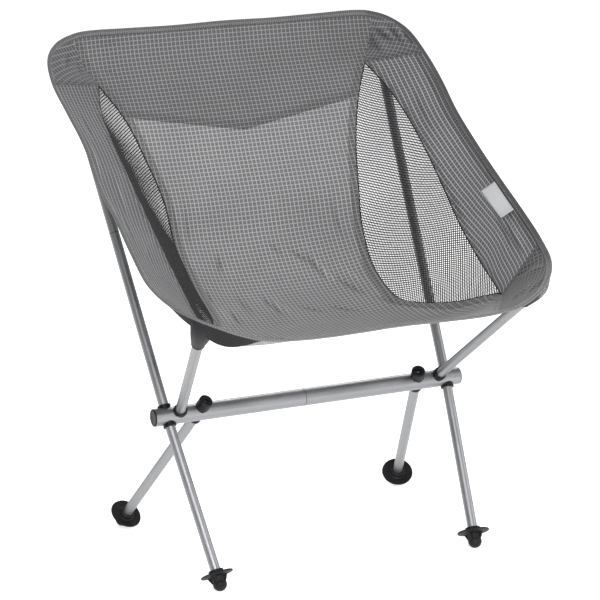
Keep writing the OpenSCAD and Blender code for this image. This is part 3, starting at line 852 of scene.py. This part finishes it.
def build_hem():
    """The folded hem all round, with a row of stitches on each face."""
    raw_s = np.linspace(0, len(EDGE_LOOP), 2401)
    length = arc(edge(raw_s))
    count = 620
    along = np.arange(count) * length[-1] / count
    p, inward, out = hem_frame(np.interp(along, length, raw_s))
    wave = noise_at(p, 6.0, 3.3)
    slow = 0.25 * noise_at(p, 26.0, 8.1)
    rings, uv = [], []
    across = 0.0
    for k, (a, h) in enumerate(HEM_SECTION):
        if k:
            across += math.dist(HEM_SECTION[k], HEM_SECTION[k - 1])
        swell = 0.16 * wave * (1 if h > 0.8 else -1) * (0.3 if a < 1 else 1)
        rings.append(p + inward * (a + slow * (a > 6))[:, None] + out * (h + swell + slow)[:, None])
        uv.append(np.stack([np.full(count, across), along], -1))
    cols = len(HEM_SECTION)
    faces = grid_faces(count, cols, around=True)
    last = (count - 1) * cols
    faces += [(last + j, last + (j + 1) % cols, (j + 1) % cols, j) for j in range(cols)]
    # Painted shade: the hem is darkened by half except along its front edge, and nearly fully along
    # the right side.
    painted_side_shade = np.maximum(0.5 * ease((p[:, 1] + 250) / 60),
                           0.9 * ease((p[:, 0] - 190) / 25) * ease((p[:, 1] + 205) / 40))
    shade = np.maximum(np.array([painted_hem_shade(a) for a, _ in HEM_SECTION])[None], painted_side_shade[:, None])
    made = object_from("folded_hem", np.stack(rings, 1).reshape(-1, 3), faces, MAT_HEM,
                       uv=np.stack(uv, 1).reshape(-1, 2), floats={"fold_and_painted_shade": shade})
    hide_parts("edge_binding")
    top = p + inward * HEM_STITCH - out * 0.20
    below = p + inward * HEM_STITCH + out * 1.76
    top, below, out = (np.vstack([q, q[:1]]) for q in (top, below, out))
    rows = stitches("hem_stitches", [(top, -out), (below, out)], MAT_THREAD, pitch=3.4, length=2.3)
    return made, rows


def build_seams():
    """Piping on the cut edges beside the net, and the rows of stitches along every seam."""
    made, rows = [], []
    for side, sign in SIDES:
        for name, fn in (("inner", mesh_inner), ("outer", wing_inner)):
            points = resample(fn(np.linspace(0, 1, 300)), 3.0)
            lifted = points + 0.75 * outward(points)
            pipe = sweep(f"net_{name}_piping_{side}", mirrored(lifted, sign),
                         mirrored(outward(points), sign), round_section(1.05), MAT_TAPE)
            made.append(pipe)
            v = np.linspace(0.02, 0.98, 300)
            if name == "inner":
                s = mix(SEAM_MESH_TOP, SEAM_MESH_END, v)
                line = middle(1 - 9.4 / spline(SEAM, s)[:, 0], s)
            else:
                a, b = wing_inner(v), wing_outer(v)
                line = mix(a, b, (6.4 / np.linalg.norm(b - a, axis=1))[:, None])
            lift = line + 0.02 * outward(line)
            rows.append((mirrored(lift, sign), -mirrored(outward(line), sign)))
        for inner, outer in ((top_inner, top_outer), (front_inner, front_outer)):
            w = np.linspace(0.03, 0.93, 60)[:, None]
            base, up = (inner(s) * (1 - w) + outer(s) * w
                        for s in (np.zeros(60), np.full(60, 0.05)))
            q = base + unit(up - base) * 5.2
            rows.append((mirrored(q, sign), -mirrored(outward(q), sign)))
    stitched = stitches("seam_stitches", rows, MAT_THREAD_DARK, pitch=3.2, length=2.2)
    u = np.linspace(-0.97, 0.97, 260)
    v_rows = []
    for shift in (-0.055, -0.13):
        q = middle(u, headrest_seam(u) + shift)
        v_rows.append((q - 0.15 * outward(q), -outward(q)))
    yoke = stitches("yoke_stitches", v_rows, MAT_THREAD_DARK, pitch=3.0, length=2.1, radius=0.24)
    return made, stitched, yoke


wings, nets, corners, cones = {}, {}, {}, {}
for side, sign in SIDES:
    wings[side] = build_wing(side, sign)
    nets[side] = build_net(side, sign)
    for kind in ("back", "front"):
        corners[kind, side], patch = build_corner(side, sign, kind)
        cones[kind, side] = build_cone(side, sign, kind, patch)
hem, hem_stitches = build_hem()
pipings, seam_stitches, yoke_stitches = build_seams()


# Places of the label's corners on the wing, as shares along and across
LABEL_CORNERS = ((0.62, 0.60), (0.65, 0.88), (0.795, 0.875), (0.755, 0.64))


def build_label():
    """A small blank label whose lower end stands off the cloth."""
    a, b, c, d = LABEL_CORNERS
    down = np.linspace(0, 1, 26)[:, None]
    over = np.linspace(0, 1, 14)[None]
    vv, ww = (mix(mix(a[k], b[k], over), mix(d[k], c[k], over), down) for k in (0, 1))
    grid = wing_inner(vv) * (1 - ww[..., None]) + wing_outer(vv) * ww[..., None]
    belly = 0.5 * np.sin(math.pi * over) * np.sin(math.pi * down)
    lift = 1.3 + 1.6 * ease((down - 0.78) / 0.22) + belly
    grid = grid - lift[..., None] * outward(grid)
    along = np.linalg.norm(grid[:1, 0] - grid[:, 0], axis=1)[:, None] + 0 * ww
    across = np.linalg.norm(grid[0, :] - grid[0, :1], axis=1)[None] + 0 * vv
    made = cloth_piece("blank_label", grid, MAT_LABEL, np.stack([across, along], -1),
                       {"fold_and_painted_shade": 0 * vv}, thick=0.45, lift=0.0)
    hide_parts("side_label")
    inset = [grid[1, 1:-1], grid[1:-1, -2], grid[-2, 1:-1][::-1], grid[1:-1, 1][::-1]]
    rows = [(q - 0.22 * outward(q), -outward(q)) for q in inset]
    sewn = stitches("label_stitches", rows, MAT_THREAD, pitch=2.2, length=1.5, radius=0.2)
    return made, sewn


label, label_stitches = build_label()


# The facing: places along the edge, and how far it hangs there
FLAP_AT = (3.9, 4.0, 4.25, 4.5, 4.75, 5.0, 5.2, 5.45, 5.7, 5.9, 6.1, 6.3)
FLAP_DROP = {"left": (0.3, 1.6, 8.0, 13.5, 18.0, 19.5, 18.5, 14.0, 9.5, 6.5, 3.5, 0.8),
             "right": (0.3, 1.6, 6.0, 8.5, 9.0, 7.5, 5.0, 3.0, 1.5, 1.0, 0.8, 0.6)}


def build_flap(side, sign):
    """Facing under the front corner: its free edge hangs a little below the hem."""
    rows, cols = 90, 16
    s = np.linspace(FLAP_AT[0], FLAP_AT[-1], rows)
    p, inward, out = hem_frame(s)
    drop = np.interp(s, FLAP_AT, FLAP_DROP[side])
    drop = np.convolve(np.pad(drop, 4, mode="edge"), np.ones(9) / 9, mode="valid")
    depth = np.linspace(0, 1, cols)
    down = np.array([0, 0, -1.0])
    grid = np.stack([p + inward * (2.0 + 6 * k) + out * 1.9 + down * (drop * k)[:, None]
                     for k in depth], 1)
    bow = (noise_at(grid, 16.0, 2.2) * 0.9)[..., None] * unit(np.array([0.3, -1.0, 0.2]))
    grid = grid + bow * depth[None, :, None]
    uv = np.stack([np.repeat(depth[None] * 16, rows, 0), np.repeat(arc(p)[:, None], cols, 1)], -1)
    made = object_from("front_facing_" + side, mirrored(grid, sign).reshape(-1, 3),
                       grid_faces(rows, cols), MAT_TAPE, uv=uv.reshape(-1, 2))
    thicken(made, 0.7)
    return made


flaps = {side: build_flap(side, sign) for side, sign in SIDES}


def joint_gap_shadow(name, centre, axis, radius):
    """A thin dark ring, a painted shadow in the gap where two tube ends meet."""
    axis = unit(axis)
    e = unit(np.cross(axis, [0.3, 0.2, 1.0]))
    f = np.cross(axis, e)
    turn = np.linspace(0, 2 * math.pi, 73)[:, None]
    loop = centre + radius * (np.cos(turn) * e + np.sin(turn) * f)
    made = sweep(name, loop, np.repeat(axis[None], 73, 0),
                 [(-0.28, -0.12), (0.28, -0.12), (0.28, 0.10), (-0.28, 0.10)], MAT_PLASTIC)


joint_gap_shadow("beam_joint_gap_shadow", np.array([BEAM_JOINT_X, BEAM_Y, BEAM_Z]), (1, 0, 0), BEAM_R)
for side, sign in SIDES:
    joint_gap_shadow("back_joint_gap_shadow_" + side, mirrored(ray_point(BACK_X, BACK_DIR, BACK_JOINT), sign),
               mirrored(np.array(BACK_DIR), sign), POLE_R)

# ---------------------------------------------------------------- hard parts keep their CAD shape
TUBES = {
    "beam_left": (1, 0, 0), "beam_right": (1, 0, 0), "beam_ferrule": (1, 0, 0),
    "back_pole_lower": BACK_DIR, "back_pole_upper": BACK_DIR, "back_ferrule": BACK_DIR,
    "back_spigot": BACK_DIR, "seat_pole": SEAT_DIR, "seat_spigot": SEAT_DIR,
    "front_leg": FRONT_DIR, "rear_leg": REAR_DIR, "rear_spigot": REAR_DIR}
for name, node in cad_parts.items():
    if node.hide_render:
        continue
    stem, _, tail = name.rpartition("_")
    sign = -1 if tail == "left" else 1
    if name in TUBES or stem in TUBES:
        d = TUBES.get(name) or TUBES[stem]
        material = aluminium("satin_" + name, (d[0] * sign, d[1], d[2]))
    elif "foot" in name:
        material = MAT_RUBBER
    elif "cord" in name:
        material = MAT_CORD
    else:
        material = MAT_PLASTIC
    node.data.materials.clear()
    node.data.materials.append(material)

# ---------------------------------------------------------------- studio
AIM = Vector((-0.0132, -0.013, 0.3222))
AZIMUTH, ELEVATION, DISTANCE, LENS = math.radians(-25.04), math.radians(15.5), 3.5, 166.0
back = Vector((math.sin(AZIMUTH) * math.cos(ELEVATION),
               -math.cos(AZIMUTH) * math.cos(ELEVATION), math.sin(ELEVATION)))
camera_data = bpy.data.cameras.new("camera")
camera_data.lens = LENS
camera_data.sensor_width = 36.0
camera = bpy.data.objects.new("camera", camera_data)
camera.location = AIM + back * DISTANCE
camera.rotation_mode = "QUATERNION"
camera.rotation_quaternion = (-back).to_track_quat("-Z", "Y")
bpy.context.scene.collection.objects.link(camera)
bpy.context.scene.camera = camera


def floor_material():
    g = Nodes("studio_floor")
    grain = g.noise(g.coords(), 40.0, 4.0)
    pale = g.blend(g.span(grain, 0.3, 0.7), (0.93, 0.93, 0.93), (0.95, 0.95, 0.95))
    g.set(Base_Color=pale, Roughness=0.85, Emission_Color=(1.0, 1.0, 1.0), Emission_Strength=0.62)
    return g.material


FLOOR_HALF = 25.0
floor_data = bpy.data.meshes.new("floor")
floor_data.from_pydata([(x * FLOOR_HALF, y * FLOOR_HALF, 0)
                        for x, y in ((-1, -1), (1, -1), (1, 1), (-1, 1))], [], [(0, 1, 2, 3)])
floor_data.materials.append(floor_material())
floor = bpy.data.objects.new("floor", floor_data)
bpy.context.scene.collection.objects.link(floor)


def softbox(name, place, size, power, aim=(0, 0, 0.35)):
    """A soft rectangular light, its sides in metres and its power in watts."""
    data = bpy.data.lights.new(name, "AREA")
    data.shape = "RECTANGLE"
    data.size, data.size_y = size
    data.energy = power
    lamp = bpy.data.objects.new(name, data)
    lamp.location = place
    lamp.rotation_mode = "QUATERNION"
    lamp.rotation_quaternion = (Vector(aim) - Vector(place)).to_track_quat("-Z", "Y")
    bpy.context.scene.collection.objects.link(lamp)


softbox("key", (-1.0, -3.2, 1.7), (1.8, 1.8), 105)
softbox("fill", (2.6, -1.4, 1.3), (1.6, 1.8), 26)
softbox("top", (-0.3, 0.4, 3.0), (1.6, 1.6), 16)
softbox("rim", (1.2, 2.6, 2.2), (1.6, 1.2), 30)
world = bpy.data.worlds.new("studio")
world.use_nodes = True
world.node_tree.nodes["Background"].inputs[0].default_value = (1.0, 1.0, 1.0, 1.0)
world.node_tree.nodes["Background"].inputs[1].default_value = 0.34
bpy.context.scene.world = world
bpy.context.scene.view_settings.view_transform = "Standard"
